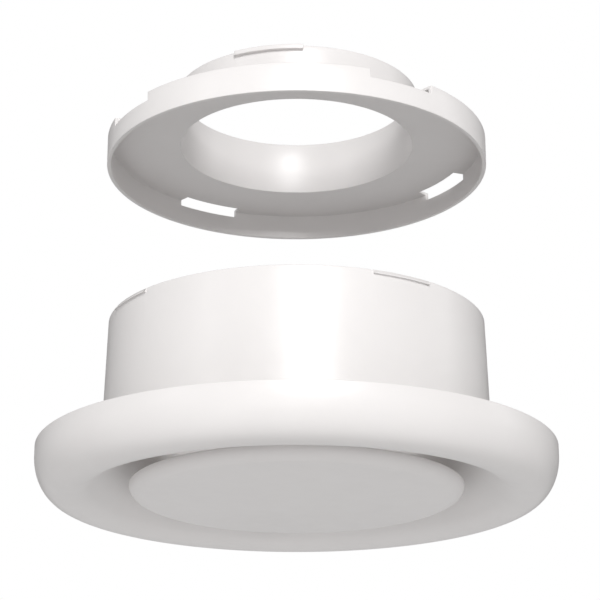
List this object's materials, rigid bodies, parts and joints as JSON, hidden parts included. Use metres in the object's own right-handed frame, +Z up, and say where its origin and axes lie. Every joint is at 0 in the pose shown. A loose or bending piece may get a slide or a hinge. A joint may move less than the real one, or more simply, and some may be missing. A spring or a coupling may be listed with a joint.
{
  "type": "ceiling air valve",
  "caption": "Round white ceiling air valve with a screw-adjusted disc in a deep rounded rim, and a clip-on reducing duct adapter lifted off its collar.",
  "frame": {"origin": "on the valve's axis, in the plane of the rim's back edge, which is the ceiling plane", "axes": "+Z up along the valve's axis, from the room into the duct; +X and +Y across it, with arms of the bridge along both"},
  "size_m": [0.2002, 0.2002, 0.1694],
  "materials": {
    "white_plastic": "satin moulded",
    "foam": "open foam",
    "zinc_steel": "zinc plated",
    "spring_steel": "dull",
    "brass_insert": "turned"
  },
  "bodies": {
    "valve_body": {"valve_housing": "white_plastic", "rim_gasket": "foam", "bridge": "white_plastic", "bridge_screws": "zinc_steel", "spindle_bush": "brass_insert"},
    "adapter": {"duct_adapter": "white_plastic"},
    "lock_link": {"lock_washer": "zinc_steel"},
    "lock_nut_body": {"lock_nut": "white_plastic"},
    "stop_link": {"stop_washer": "zinc_steel"},
    "disc_body": {"disc": "white_plastic", "spindle": "white_plastic", "spindle_pin": "spring_steel", "stop_clip": "spring_steel"}
  },
  "joints": [
    {"name": "adapter_clip", "type": "slide", "parent": "valve_body", "child": "adapter", "axis": [0, 0, -1], "range_m": [0, 0.0771]},
    {"name": "lock_travel", "type": "slide", "parent": "valve_body", "child": "lock_link", "axis": [0, 0, 1], "range_m": [0, 0.004]},
    {"name": "lock_turn", "type": "hinge", "parent": "lock_link", "child": "lock_nut_body", "pos_m": [0, 0, 0.033], "axis": [0, 0, 1], "range_deg": [0, 360]},
    {"name": "disc_travel", "type": "slide", "parent": "valve_body", "child": "stop_link", "axis": [0, 0, 1], "range_m": [-0.01, 0.0125]},
    {"name": "disc_turn", "type": "hinge", "parent": "stop_link", "child": "disc_body", "pos_m": [0, 0, -0.018], "axis": [0, 0, 1], "range_deg": [-900, 1125]}
  ],
  "couplings": [
    {"joint": "lock_travel", "follows": "lock_turn", "m_per_rad": 0.00063662},
    {"joint": "disc_travel", "follows": "disc_turn", "m_per_rad": 0.00063662}
  ]
}
